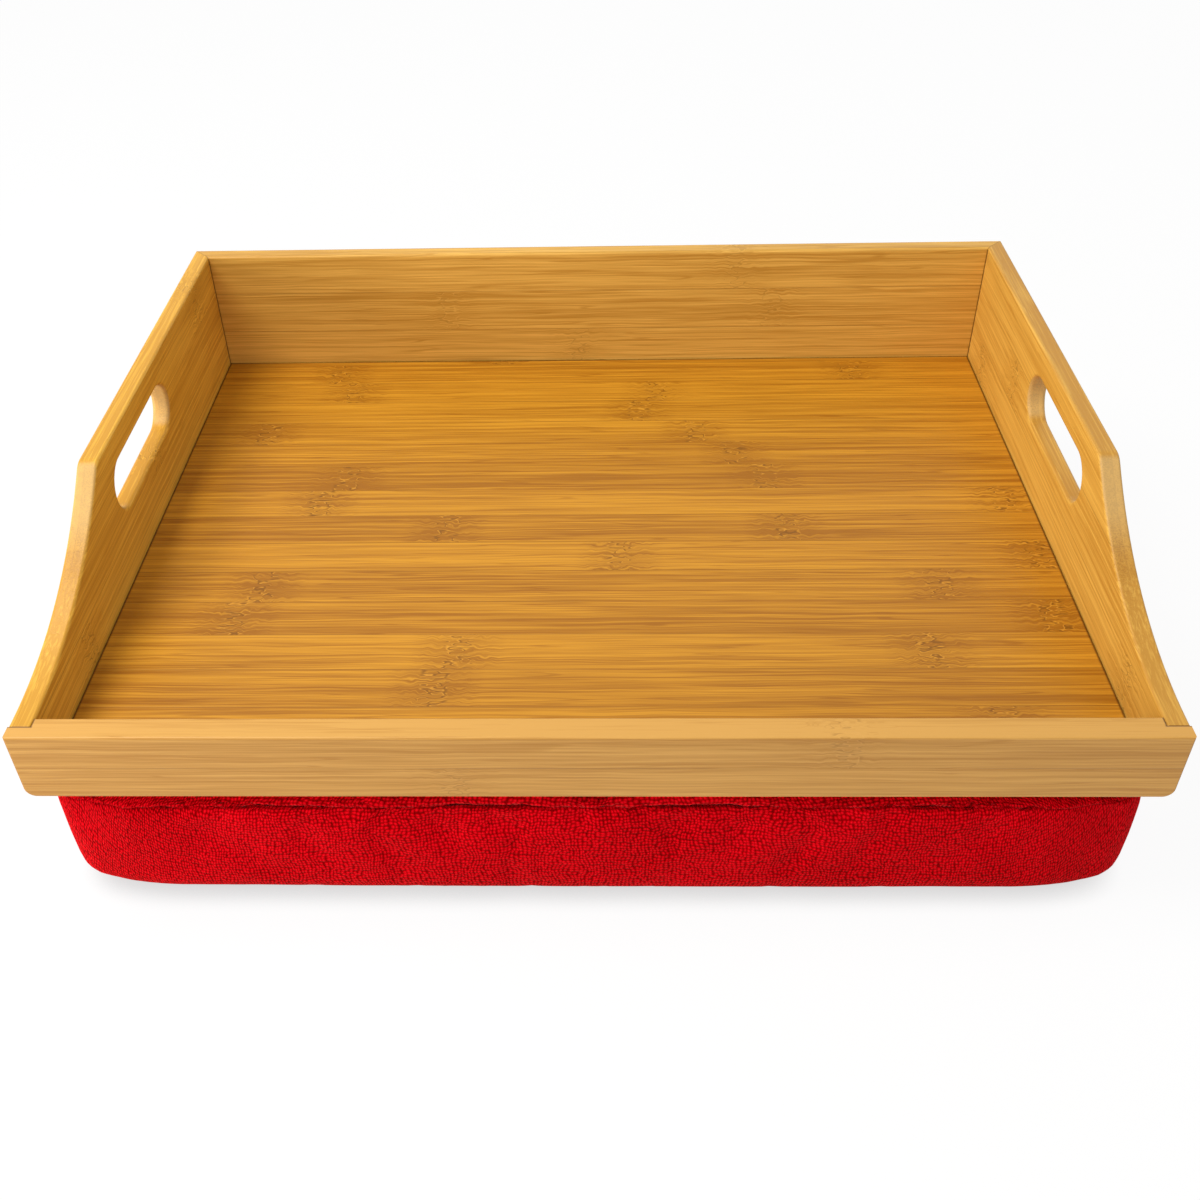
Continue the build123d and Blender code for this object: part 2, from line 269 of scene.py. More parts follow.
paper_drop = 0.0004
white_share = 0.93
shadow_reach = 0.012
shadow_depth = 0.32
bpy.ops.mesh.primitive_plane_add(size=24, location=(0, 0, -paper_drop))
paper = bpy.context.object
paper.name = "paper"
paper_material, paper_shader, wire = new_material(
    "paper", {"Base Color": (0.86, 0.86, 0.86, 1), "Roughness": 0.9, "Specular IOR Level": 0.0})
openness = wire.node("ShaderNodeAmbientOcclusion", {"samples": 8}, {"Distance": shadow_reach}, output="AO")
whiteness = 1 - (1 - smooth(openness, 0.0, 0.95)) * shadow_depth
glow = wire.node("ShaderNodeEmission", {}, {"Color": pack(whiteness, whiteness, whiteness)})
camera_ray = wire.node("ShaderNodeLightPath", output="Is Camera Ray")
glossy_ray = wire.node("ShaderNodeLightPath", output="Is Glossy Ray")
lit = Wire(wire.tree, paper_shader.outputs[0])
shown = wire.node("ShaderNodeMixShader", {},
                  {0: (camera_ray + glossy_ray) * white_share, 1: lit, 2: glow})
out = paper_material.node_tree.nodes["Material Output"]
wire.tree.links.new(shown.socket, out.inputs["Surface"])
paper.data.materials.append(paper_material)
print("lamps", key_lamp.data.energy, "and", side_lamp.data.energy, "W, sky", sky_strength)

# %% [markdown]
# Bamboo boards are glued up from strips. Each strip has its own tone, fine fibres that run its
# whole length, and now and then a node, the ring that the cane had between two hollow joints. A
# node shows as a patch of pale wriggling lines in a darker patch, and the fibres bend around it.
# One colour ramp with hard steps serves as a table: its red and green give the places of a
# strip's two nodes, and its blue gives the strip's tone. The same strips then turn up on every
# face of the board, as they do in real wood.

# %% Strips, and where their nodes are
table_rows = 16
table_span = 0.5


def strip_table(rows):
    """Ramp stops from rows of (node, node, tone), with places along the board in metres."""
    stops = []
    for index in range(table_rows):
        first, second, tone = rows[index % len(rows)]
        colour = (first / table_span + 0.5, second / table_span + 0.5, tone)
        stops.append((index / table_rows, colour))
    return stops


none = 0.25
panel_strips = [
    (none, none, 0.5), (0.165, none, 0.55), (-0.0663, none, 0.42), (-0.058, 0.1437, 0.66),
    (-0.1597, 0.2013, 0.42), (-0.1513, 0.156, 0.45), (0.012, 0.206, 0.64), (-0.0713, 0.092, 0.34),
    (-0.1363, 0.2003, 0.66), (-0.1257, 0.086, 0.36), (0.0727, none, 0.52), (-0.1747, 0.0527, 0.62),
    (0.0237, none, 0.58), (-0.134, 0.0337, 0.68), (-0.1453, 0.1437, 0.60), (-0.053, none, 0.6)]
front_strips = [(-0.0527, none, 0.52), (0.0953, none, 0.46), (none, -0.13, 0.6), (none, none, 0.5)]
back_strips = [(none, none, 0.4), (-0.0097, none, 0.60), (-0.083, 0.0993, 0.46), (0.0777, none, 0.54)]
left_strips = [(none, none, 0.4), (-0.098, none, 0.62), (0.02, none, 0.34), (0.1219, none, 0.48)]
right_strips = [(none, none, 0.4), (-0.1215, 0.13, 0.66), (0.0752, none, 0.50), (none, none, 0.54)]
print("strips on the base panel", len(panel_strips))

# %% [markdown]
# The grain itself is noise that is stretched along the board: many times finer across than
# along. Three sizes of it lie over each other, for single fibres, for bundles and for slow
# changes of tone, and thin dark and pale threads run through them. Since the pattern fills the
# wood in all three directions, it runs round the eased edges without a seam. Where a face cuts
# across the fibres, as on the swept front edges, the wood shows end grain instead, which is a
# mottled ground with small dark pores.

# %% Bamboo
tray_half_x = 0.222
tray_half_y = 0.1655
tray_bottom = 0.0658
rail_thick = 0.009
front_lip = 0.006
ply_seam = 0.2183
node_reach = 0.021
core_reach = 0.0072
joint_half = 0.00045
bare_wood = (0.80, 0.55, 0.21, 1)


def fibres(along, across, through, number):
    """Single fibres, bundles, slow tone, and thin dark and pale threads, each from 0 to 1."""
    shifted = along + number * 0.37
    wander = (noise(pack(shifted * 22, across * 110, through * 110), detail=2.0) - 0.5) * 0.0022
    across = across + wander
    fine = noise(pack(shifted * 16, across * 1150, through * 1150), detail=2.0, roughness=0.62)
    bundle = smooth(noise(pack(shifted * 6, across * 520, through * 520), detail=1.0), 0.30, 0.70)
    slow = noise(pack(shifted * 4, across * 70, through * 70))
    level = noise(pack(shifted * 9, across * 450, through * 450), detail=0.0)
    dark = hump(abs(level - 0.5), 0.030) * smooth(fine, 0.25, 0.6)
    level = noise(pack(shifted * 11 + 5, across * 560, through * 560), detail=0.0)
    pale = hump(abs(level - 0.5), 0.035) * smooth(fine, 0.4, 0.7)
    return fine, bundle, slow, dark, pale


def node_marks(along, across, through, gap):
    """Pale wriggling strokes close to a node, and beside them dark strokes that are their painted shade."""
    core = smooth(hump(gap, core_reach), 0.0, 0.6)
    field = noise(pack(along * 170, across * 520, through * 520), detail=0.0)
    pale = hump(abs(field - 0.52), 0.030) * core
    dark = hump(abs(field - 0.452), 0.052) * core
    return pale, dark


def end_grain(place, through):
    """How pale the cut ends of the fibres are: a smooth outer ply, small dark pores, and painted shade
    higher up.
    """
    pores = smooth(noise(place, 1700, detail=1.0), 0.36, 0.52)
    clouds = noise(place, 260, detail=2.0)
    outer = smooth(abs(through), ply_seam - 0.0001, ply_seam + 0.0002)
    seam = hump(abs(abs(through) - ply_seam), 0.0004)
    # Painted shade: cut ends between 102 and 132 mm high, the steep upper part of the swept fronts, are
    # painted darker.
    painted_upper_shade = smooth(place.part(2), 0.102, 0.132)
    return clouds * 0.42 + pores * (0.34 - outer * 0.16) + outer * 0.26 - seam * 0.10 - painted_upper_shade * 0.14


def joint_lines(place):
    """Dark where two rails meet: the mitres at the back and the rabbets at the front."""
    x = abs(place.part(0))
    y = place.part(1)
    z = place.part(2)
    faint_on_top = 1 - smooth(z, 0.1385, 0.14) * 0.5
    mitre = hump(abs(x - y - (tray_half_x - tray_half_y)), 0.00055) * smooth(y, 0.150, 0.152) * faint_on_top
    rabbet = hump(abs(y + (tray_half_y - front_lip)), 0.0005) * smooth(x, 0.2122, 0.2128)
    shoulder = hump(abs(x - (tray_half_x - rail_thick)), 0.0005)
    shoulder = shoulder * smooth(y, -0.1601, -0.1597) * (1 - smooth(y, -0.1549, -0.1545))
    return mitre.larger(rabbet.larger(shoulder))


def panel_gap_shade(place):
    """Painted shade along the gap between the base panel and the rails."""
    x = abs(place.part(0))
    y = abs(place.part(1) - 0.00085)
    return smooth((x - 0.2127).larger(y - 0.15535), -0.0011, -0.0003)


def bamboo(name, grain_axis, width_axis, edge, pitch, first, strips, tones, vigour, lines=joint_lines,
           painted_top_shade=0.0, bow=0.0):
    """A lacquered board: grain along one axis, strips side by side along another.

    Vigour is how strongly its nodes show, and the top shade how much painted shade darkens its
    upward faces and, a fifth as much, its cut ends; below zero it is painted light that makes them
    paler. The cut ends inside the hand holes are paler than those of the front edges.
    """
    deep, pale = tones
    material, shader, wire = new_material(name, {"Specular IOR Level": 0.3})
    place = wire.place()
    axes = {axis: place.part(index) for index, axis in enumerate("XYZ")}
    along = axes.pop(grain_axis)
    across = axes.pop(width_axis)
    through = list(axes.values())[0]

    steps = (across - edge) / pitch
    steps = steps + steps * steps * bow + first
    number = steps.maths("FLOOR")
    looked_up = ((number + 0.5) / table_rows).ramp(strip_table(strips), "CONSTANT")
    row = [looked_up.node("ShaderNodeSeparateColor", {}, {0: looked_up}, output=i) for i in range(3)]
    gaps = [abs(along - (share - 0.5) * table_span) for share in row[:2]]
    gap = gaps[0].smaller(gaps[1])

    halo = hump(gap, node_reach) * vigour
    swirl = (noise(place, 190, detail=1.0) - 0.5) * halo * 0.007
    fine, bundle, slow, dark_thread, pale_thread = fibres(along, across + swirl, through, number)
    tone = 0.5 + (fine - 0.5) * 1.60 + (bundle - 0.5) * 0.36 + (slow - 0.5) * 0.5
    tone = tone + (row[2] - 0.5) * 0.80 - halo * 0.20 - dark_thread * 0.36 + pale_thread * 0.16
    normal = wire.node("ShaderNodeTexCoord", output="Normal")
    # Painted shade: upward faces are darkened by the given amount, for the light they get; where the amount
    # is below zero, as on the front rail, it is painted light that makes them paler.
    upward = smooth(normal.part(2), 0.5, 0.9)
    tone = tone - upward * painted_top_shade
    middle = tuple((d + p) / 2 for d, p in zip(deep, pale))
    colour = tone.ramp([(0.10, deep), (0.5, middle), (0.9, pale)])

    pale_line, stroke_shade = node_marks(along, across, through, gap)
    lightest = tuple(min(1.0, p * 1.10 + 0.01) for p in pale)
    darkest = tuple(d * 0.62 for d in deep)
    # Painted shade: dark strokes beside the pale ones stand for their shade.
    colour = mix(stroke_shade * 0.85 * vigour, colour, (*darkest, 1))
    colour = mix(pale_line * 0.62 * vigour, colour, (*lightest, 1))

    share = steps - number
    to_edge = share.smaller(1 - share) * pitch
    joint = hump(to_edge, joint_half) * smooth(bundle, 0.25, 0.6)
    colour = mix(joint * 0.55, colour, (*darkest, 1))

    cut = smooth(abs(normal.part("XYZ".index(grain_axis))), 0.22, 0.6)
    # Painted shade on the cut ends too, a fifth as strong as on the upward faces; painted light where the
    # amount is below zero.
    ends = end_grain(place, through) + (row[2] - 0.5) * 0.5 - painted_top_shade * 0.2
    end_deep = (deep[0] * 0.56, deep[1] * 0.46, deep[2] * 0.34)
    end_pale = (pale[0] * 0.80, pale[1] * 0.68, pale[2] * 0.48)
    colour = mix(cut, colour, ends.ramp([(0.20, end_deep), (0.74, end_pale)]))
    colour = mix(cut * smooth(place.part(1), -0.09, -0.06) * 0.45, colour, bare_wood)
    # Dark joint lines on the rails; on the base panel this is painted shade along its gap to the rails.
    joint_and_gap_shade = lines(place)
    colour = mix(joint_and_gap_shade * 0.8, colour, (deep[0] * 0.25, deep[1] * 0.2, deep[2] * 0.2, 1))

    feed(0.4 + (fine - 0.5) * 0.16 + cut * 0.16, shader, "Roughness")
    coat(shader, colour, fine * 0.5 + pale_line * 0.5 * vigour - joint * 0.6 - dark_thread * 0.3 - joint_and_gap_shade,
         0.25, 0.0004)
    return material


front_tones = ((0.435, 0.200, 0.032), (0.607, 0.320, 0.072))
back_tones = ((0.51, 0.252, 0.034), (0.80, 0.465, 0.094))
left_tones = ((0.55, 0.265, 0.023), (0.846, 0.483, 0.061))
right_tones = ((0.50, 0.238, 0.029), (0.733, 0.42, 0.075))
panel_tones = ((0.33, 0.120, 0.004), (0.60, 0.270, 0.017))
tall_board = (0.0945, 0.0237, 2)
finishes = {
    "front_rail": bamboo("bamboo_front", "X", "Z", tray_bottom + 0.0163, 0.0175, 1,
                         front_strips, front_tones, 0.45, painted_top_shade=-0.46),
    "back_rail": bamboo("bamboo_back", "X", "Z", *tall_board, back_strips, back_tones, 0.4, painted_top_shade=0.14),
    "left_side": bamboo("bamboo_left", "Y", "Z", *tall_board, left_strips, left_tones, 0.75, painted_top_shade=0.24),
    "right_side": bamboo("bamboo_right", "Y", "Z", *tall_board, right_strips, right_tones, 0.75, painted_top_shade=0.24),
    "base_panel": bamboo("bamboo_panel", "X", "Y", 0.0065, 0.02135, 8,
                         panel_strips, panel_tones, 1.0, panel_gap_shade, bow=0.00375),
    "mitre_splines": bamboo("bamboo_spline", "Z", "X", 0.0, 0.02, 8, left_strips, left_tones, 0.5),
}


def dress(node_name, material):
    """Give a CAD node its finish through its material slots."""
    node = cad_nodes[node_name]
    if not node.material_slots:
        node.data.materials.append(material)
    for slot in node.material_slots:
        slot.material = material


for node_name, material in finishes.items():
    dress(node_name, material)
print("bamboo boards", len(finishes))

# %% [markdown]
# The cushion is a cover of two panels: a lower one that makes the base and the walls, and an upper
# one that the tray rests on. A seam runs all round where they meet, close under the tray. Its plan
# is a rectangle whose corners turn gently, then tightly, then gently again. Each level of the
# cushion is that plan drawn in by an inset, and the flat middle is a grid spanned between the four
# sides, so the whole skin is made of four-sided faces that a cloth simulation can bend.

# %% The cushion's plan
cushion_half_x = 0.223
cushion_half_y = 0.165
soft_radius = 0.120
tight_radius = 0.018
soft_turn = math.radians(15)
tight_turn = math.radians(90) - 2 * soft_turn
corner_reach = (soft_radius * (math.sin(soft_turn) + 1 - math.cos(soft_turn))
                + tight_radius * (math.cos(soft_turn) - math.sin(soft_turn)))


def counts(step):
    """How many faces the long side, the short side, a soft arc and a tight arc get."""
    long_side = 2 * (cushion_half_x - corner_reach)
    short_side = 2 * (cushion_half_y - corner_reach)
    half_tight = max(1, round(tight_radius * tight_turn / step / 2))
    return (round(long_side / step), round(short_side / step),
            max(2, round(soft_radius * soft_turn / step)), 2 * half_tight)


def facing(angle):
    """The outward direction where the outline heads at an angle from +X."""
    return np.array((math.sin(angle), -math.cos(angle)))


def outline(inset, step):
    """Points and outward directions round one level, from the middle of the front left corner."""
    long_count, short_count, soft_count, tight_count = counts(step)
    half_x = cushion_half_x - inset
    half_y = cushion_half_y - inset
    place = np.array((corner_reach - half_x, -half_y))
    heading = 0.0
    points = []
    normals = []
    sides = ((2 * (half_x - corner_reach), long_count), (2 * (half_y - corner_reach), short_count))
    arcs = ((soft_radius, soft_turn, soft_count), (tight_radius, tight_turn, tight_count),
            (soft_radius, soft_turn, soft_count))
    for length, count in sides * 2:
        onward = np.array((math.cos(heading), math.sin(heading)))
        for index in range(count):
            points.append(place + onward * length * index / count)
            normals.append(facing(heading))
        place = place + onward * length
        for radius, turn, count in arcs:
            centre = place - radius * facing(heading)
            for index in range(count):
                outward = facing(heading + turn * index / count)
                points.append(centre + radius * outward)
                normals.append(outward)
            heading += turn
            place = centre + radius * facing(heading)
    shift = soft_count + tight_count // 2
    return np.roll(points, shift, axis=0), np.roll(normals, shift, axis=0)


def span_grid(ring, step):
    """The flat middle inside a ring: a grid of points, row by row, spanned between its sides."""
    long_count, short_count, soft_count, tight_count = counts(step)
    corner = 2 * soft_count + tight_count
    columns = long_count + corner
    rows = short_count + corner
    total = len(ring)
    grid = np.zeros((rows + 1, columns + 1, 2))
    number = -np.ones((rows + 1, columns + 1), int)
    for i in range(columns + 1):
        number[0, i] = i
        number[rows, i] = 2 * columns + rows - i
    for j in range(rows + 1):
        number[j, columns] = columns + j
        number[j, 0] = (total - j) % total
    front = ring[number[0]]
    back = ring[number[rows]]
    left = ring[number[:, 0]]
    right_side = ring[number[:, columns]]
    for j in range(rows + 1):
        t = j / rows
        for i in range(columns + 1):
            s = i / columns
            ruled = (1 - t) * front[i] + t * back[i] + (1 - s) * left[j] + s * right_side[j]
            corners = ((1 - s) * ((1 - t) * front[0] + t * back[0])
                       + s * ((1 - t) * front[columns] + t * back[columns]))
            grid[j, i] = ruled - corners
    return grid, number


skin_step = 0.0028
print("faces round the cushion", len(outline(0.0, skin_step)[0]))

# %% [markdown]
# A skin is rings, from the flat middle outwards and along the wall, closed by that grid. Each
# point also gets its place in the flat cloth it was cut from: the lower panel lies flat under the
# cushion and its walls are folded up, so the ribs of the cloth run front to back underneath, stand
# upright on the front wall, lie level on the side walls and fan out round the corners. There the
# walls take up less of the flat cloth, so that the tufts aren't crowded.

# %% Skins from rings
corner_ease = 0.45


def fold_directions(normals):
    """The outward directions, turned more slowly round the corners, as eased cloth does."""
    eased = np.array(normals)
    for _ in range(320):
        eased = (np.roll(eased, 1, axis=0) + 2 * eased + np.roll(eased, -1, axis=0)) / 4
    return eased / np.linalg.norm(eased, axis=1)[:, None]


def ring_points(levels, step, extra=0.0, squeeze=1.0):
    """Rings in space for (inset, height) levels, all drawn in by extra."""
    rings = []
    for inset, height in levels:
        plan, _ = outline(inset + extra, step)
        heights = np.full((len(plan), 1), extra + height * squeeze)
        rings.append(np.hstack((plan, heights)))
    return np.array(rings)


def ring_faces(count, total):
    """Quads between neighbouring rings, by vertex number."""
    faces = []
    for r in range(count - 1):
        for c in range(total):
            d = (c + 1) % total
            faces.append((r * total + c, r * total + d, (r + 1) * total + d, (r + 1) * total + c))
    return faces


def skin(name, rings, step, normals, facing_up):
    """A mesh from rings that start at the flat middle, with its cloth map."""
    total = rings.shape[1]
    grid, number = span_grid(rings[0][:, :2], step)
    verts = [tuple(p) for ring in rings for p in ring]
    cloth = []
    folded = fold_directions(normals)
    corner = 2 * np.abs(folded[:, 0] * folded[:, 1])
    folded = folded * (1 - corner_ease * corner)[:, None]
    run = np.zeros(total)
    for index, ring in enumerate(rings):
        if index:
            run = run + np.linalg.norm(ring - rings[index - 1], axis=1)
        cloth += [tuple(p) for p in rings[0][:, :2] + folded * run[:, None]]
    for j in range(1, grid.shape[0] - 1):
        for i in range(1, grid.shape[1] - 1):
            number[j, i] = len(verts)
            verts.append((*grid[j, i], rings[0][0, 2]))
            cloth.append(tuple(grid[j, i]))
    faces = [face[::-1] if facing_up else face for face in ring_faces(len(rings), total)]
    for j in range(grid.shape[0] - 1):
        for i in range(grid.shape[1] - 1):
            face = (number[j, i], number[j, i + 1], number[j + 1, i + 1], number[j + 1, i])
            faces.append(face if facing_up else face[::-1])
    mesh = bpy.data.meshes.new(name)
    mesh.from_pydata(verts, [], [tuple(int(v) for v in face) for face in faces])
    layer = mesh.uv_layers.new(name="cloth")
    for loop in mesh.loops:
        layer.data[loop.index].uv = cloth[loop.vertex_index]
    mesh.polygons.foreach_set("use_smooth", [True] * len(mesh.polygons))
    mesh.update()
    return place_object(name, mesh)


def thicken(piece, thickness):
    """Give a skin its cloth thickness, inwards."""
    bpy.ops.object.select_all(action="DESELECT")
    piece.select_set(True)
    bpy.context.view_layer.objects.active = piece
    solid = piece.modifiers.new("thickness", "SOLIDIFY")
    solid.thickness = thickness
    solid.offset = -1
    bpy.ops.object.modifier_apply(modifier="thickness")
    piece.select_set(False)


roll_radius = 0.016
flat_cut = 0.0005
cushion_top = 0.067
seam_height = 0.0578
roll_levels = []
for angle in range(80, 9, -10):
    turn = math.radians(angle)
    height = max(0.0, roll_radius * (1 - math.sin(turn)) - flat_cut)
    roll_levels.append((roll_radius * (1 - math.cos(turn)), height))
wall_levels = [(0.0, height) for height in (0.0155, 0.0182, 0.0205, 0.0242, 0.028, 0.0305, 0.033, 0.0355,
                                            0.038, 0.0418, 0.0455, 0.0486)]
wall_levels += [(0.0001, 0.0511), (0.0002, 0.0533), (0.0003, 0.0551), (0.0005, 0.0565), (0.0010, 0.0573),
                (0.0016, 0.0577), (0.0027, seam_height)]
body_levels = [(0.027, 0.0), (0.0215, 0.0), (0.016, 0.0)] + roll_levels + wall_levels
band_levels = [(0.0027, seam_height), (0.0016, 0.0579), (0.0011, 0.0582), (0.0007, 0.059), (0.0008, 0.06),
               (0.0014, 0.0609), (0.0025, 0.0616)]
crown_levels = []
for angle in range(15, 91, 15):
    turn = math.radians(angle)
    crown_levels.append((0.0025 + 0.0315 * (1 - math.cos(turn)), 0.0616 + 0.0054 * math.sin(turn)))
top_levels = (band_levels + crown_levels + [(0.038, cushion_top), (0.042, cushion_top)])[::-1]
body_rings = ring_points(body_levels, skin_step)
top_rings = ring_points(top_levels, skin_step)
_, plan_normals = outline(0.0, skin_step)
print("rings on the lower panel", len(body_rings), "and on the upper", len(top_rings))

# %% [markdown]
# Full cloth is never quite even, so the walls go through a cloth simulation. The base, the seam
# and the flat top are held, the cloth between them is cut 2.5 percent too large, and a light
# pressure stands for the beads. The spare cloth then gathers into soft folds near the held seam.
# No point may move further than 1.5 mm, and less near the paper, so the cushion keeps its outline.

# %% Let the cloth settle
cloth_spare = 0.025
cloth_cap = 0.0015
free_height = 0.030
cloth_frames = 18
cloth_values = {"quality": 4, "mass": 0.4, "tension_stiffness": 25, "compression_stiffness": 25,
                "shear_stiffness": 10, "bending_stiffness": 1.2, "air_damping": 2,
                "shrink_min": -cloth_spare, "use_pressure": True, "uniform_pressure_force": 1.5,
                "vertex_group_mass": "held"}


def settle(first_rings, second_rings):
    """Simulate both panels' rings as one skin that is held at both ends and at the seam."""
    joined = np.concatenate((first_rings[:-1], second_rings[::-1]))
    held = {0, 1, len(first_rings) - 1, len(joined) - 1, len(joined) - 2}
    total = joined.shape[1]
    verts = [tuple(p) for ring in joined for p in ring]
    mesh = bpy.data.meshes.new("settling")
    mesh.from_pydata(verts, [], ring_faces(len(joined), total))
    piece = place_object("settling", mesh)
    pins = piece.vertex_groups.new(name="held")
    pins.add([r * total + c for r in held for c in range(total)], 1.0, "REPLACE")
    cloth = piece.modifiers.new("cloth", "CLOTH")
    for name, value in cloth_values.items():
        setattr(cloth.settings, name, value)
    cloth.settings.effector_weights.gravity = 0
    cloth.collision_settings.use_collision = False
    for number in range(1, cloth_frames + 1):
        scene.frame_set(number)
    settled = piece.evaluated_get(bpy.context.evaluated_depsgraph_get())
    places = np.zeros(len(verts) * 3)
    settled.data.vertices.foreach_get("co", places)
    scene.frame_set(1)
    bpy.data.objects.remove(piece)
    moved = places.reshape(joined.shape) - joined
    length = np.linalg.norm(moved, axis=2, keepdims=True)
    moved = moved * (cloth_cap * np.tanh(length / cloth_cap) / np.maximum(length, 1e-9))
    moved = moved * np.clip(joined[:, :, 2:] / free_height, 0.12, 1.0)
    joined = joined + moved
    split = len(first_rings) - 1
    return joined[:split + 1].copy(), joined[split:][::-1], float(length.max())


body_rings, top_rings, furthest = settle(body_rings, top_rings)
print("furthest that the free cloth moved", round(furthest * 1000, 2), "mm")

# %% [markdown]
# Two things are then shaped. The seam's thread draws the cloth in every centimetre or two, which
# puckers both panels beside it. At the back the wall is turned in along the zip, so that the
# tapes lie level with the cloth, and the turned edge stands up a little as a welt.

# %% Puckers and the zip's seat
def puckers(rings, reach, depth):
    """Draw the cloth in unevenly close to the seam."""
    plan, normals = outline(0.0, skin_step)
    steps = np.linalg.norm(np.roll(plan, -1, axis=0) - plan, axis=1)
    run = np.concatenate(([0.0], np.cumsum(steps)[:-1]))
    around = steps.sum()
    wave = np.zeros(len(run))
    for turns, share, phase in ((61, 0.30, 0.4), (97, 0.34, 1.9), (127, 0.26, 4.1), (23, 0.22, 2.7)):
        wave += share * np.sin(2 * math.pi * turns * run / around + phase)
    wave *= 0.7 + 0.3 * np.sin(2 * math.pi * 7 * run / around + 1.1)
    for ring in rings:
        near = np.exp(-((ring[:, 2] - seam_height) / reach) ** 2)
        ring[:, :2] += normals * (wave * near * depth)[:, None]
        ring[:, 2] += wave * near * depth * 0.2
    return rings


zip_half = 0.150
zip_middle = 0.033
lane_half = 0.0125
lane_wall = cushion_half_y - 0.001
back_from = 0.15
welt_height = 0.0006


def seat_zip(rings):
    """Turn the back wall in along the zip and raise a welt round it."""
    for ring in rings:
        x = np.abs(ring[:, 0])
        z = ring[:, 2]
        at_back = (ring[:, 1] > back_from) & (z > 0.012)
        beyond = np.maximum(x - zip_half, np.abs(z - zip_middle) - lane_half)
        inside = np.clip(0.5 - (beyond - 0.0004) / 0.0012, 0, 1) * at_back
        welt = np.exp(-((beyond - 0.0018) / 0.0016) ** 2) * at_back
        ring[:, 1] = ring[:, 1] * (1 - inside) + lane_wall * inside
        ring[:, 1] += welt * welt_height * (1 - inside)
    return rings


body_rings = puckers(body_rings, 0.006, 0.0008)
top_rings = puckers(top_rings, 0.005, 0.0007)
body_rings = seat_zip(body_rings)
body_rings[:, :, 2] = np.maximum(body_rings[:, :, 2], 0.0)
top_x, top_y = top_rings[:, :, 0], top_rings[:, :, 1]
under_rail = (np.abs(top_x) > 0.2125) | (top_y < -0.1543) | (top_y > 0.156)
ceiling = np.where(under_rail, tray_bottom - 0.0003, cushion_top)
top_rings[:, :, 2] = np.minimum(top_rings[:, :, 2], ceiling)


def wall_at(x, z):
    """How far back the cloth stands at a place on the back wall."""
    points = body_rings[body_rings[:, :, 1] > back_from]
    gap = (points[:, 0] - x) ** 2 + (points[:, 2] - z) ** 2
    return float(points[np.argsort(gap)[:3], 1].max())


print("highest point of the upper panel", round(float(top_rings[:, :, 2].max()), 4))

# %% [markdown]
# Terry is a knitted ground with a small loop at every stitch. Seen close to, it is columns of round
# tufts, each catching the light on top and dark at its foot. That light and shade are painted into
# the colour: a painted highlight on each tuft and painted shade round its foot, and painted shade
# along the seam's crease. The tufts come from a cell pattern on the cloth map, about 1.3 mm across
# the ribs and 1.6 mm along them, which a slow noise bends a little. There is almost no shine, only
# the soft bloom that loose fibres give at a low angle.

# %% Terry
wale_width = 0.0013
loop_length = 0.0016


def terry(name, deep, middle, bright):
    material, shader, wire = new_material(
        name, {"Roughness": 0.95, "Specular IOR Level": 0.0, "Sheen Weight": 0.36,
               "Sheen Roughness": 0.36, "Sheen Tint": (1.0, 0.10, 0.09, 1)})
    flat = wire.node("ShaderNodeUVMap", {"uv_map": "cloth"})
    across = flat.part(0)
    along = flat.part(1)
    spot = pack(across, along, 0.0)
    sway = (noise(spot, 80, detail=1.0) - 0.5) * 0.0046
    slip = (noise(spot, 120, detail=1.0) - 0.5) * 0.0030
    cell = pack((across + sway) / wale_width, (along + slip) / loop_length, 0.0)
    distance = cell.node("ShaderNodeTexVoronoi", {"voronoi_dimensions": "2D"},
                         {"Vector": cell, "Scale": 1.0, "Randomness": 0.42})
    tuft = hump(distance, 0.66)
    tone = noise(spot, 380, detail=1.0)
    drift = noise(spot, 26, detail=1.0)
    # Painted highlight and shade: each tuft's middle is painted bright and its foot dark, for the light on
    # its top and the shade at its foot.
    shade = tuft * tuft * 0.72 + (tone - 0.5) * 0.5 + (drift - 0.5) * 0.3 + 0.06
    colour = shade.ramp([(0.02, deep), (0.38, middle), (0.85, bright)])
    # Painted shade: the colour is darkened along the seam's crease.
    seam = hump(abs(wire.place().part(2) - seam_height), 0.0007)
    colour = mix(seam * 0.35, colour, (deep[0] * 0.3, 0.0, 0.0, 1))
    coat(shader, colour, tuft + (tone - 0.5) * 0.3 - seam * 0.2, 0.65, 0.0007)
    return material


red_terry = terry("red_terry", (0.21, 0.0, 0.0008), (0.49, 0.0002, 0.0027), (0.83, 0.0035, 0.0118))
print("tufts about", wale_width * 1000, "by", loop_length * 1000, "mm")

# %% Sew the two panels
cover_thick = 0.0021
body_panel = skin("terry_lower_panel", body_rings, skin_step, plan_normals, False)
slot_half = 0.142
slot_reach = 0.005
opening = bmesh.new()
opening.from_mesh(body_panel.data)
behind = [face for face in opening.faces
          if face.calc_center_median().y > back_from
          and abs(face.calc_center_median().x) < slot_half
          and abs(face.calc_center_median().z - zip_middle) < slot_reach]
bmesh.ops.delete(opening, geom=behind, context="FACES")
opening.to_mesh(body_panel.data)
opening.free()
thicken(body_panel, cover_thick)
top_panel = skin("terry_upper_panel", top_rings, skin_step, plan_normals, True)
thicken(top_panel, cover_thick)
for panel, node_name in ((body_panel, "cover_body"), (top_panel, "cover_top")):
    panel.data.materials.append(red_terry)
    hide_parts(node_name)
    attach(panel, "cushion")
    print(panel.name, len(panel.data.polygons), "faces")

# %% [markdown]
# Inside the cover is a plain cotton bag, sewn from two halves, and in the bag are foam beads. Both
# are out of sight, but they are real pieces, so they get real forms and finishes. The bag's weave
# is two crossed sets of ribs. The beads are a cell pattern of small pale balls.

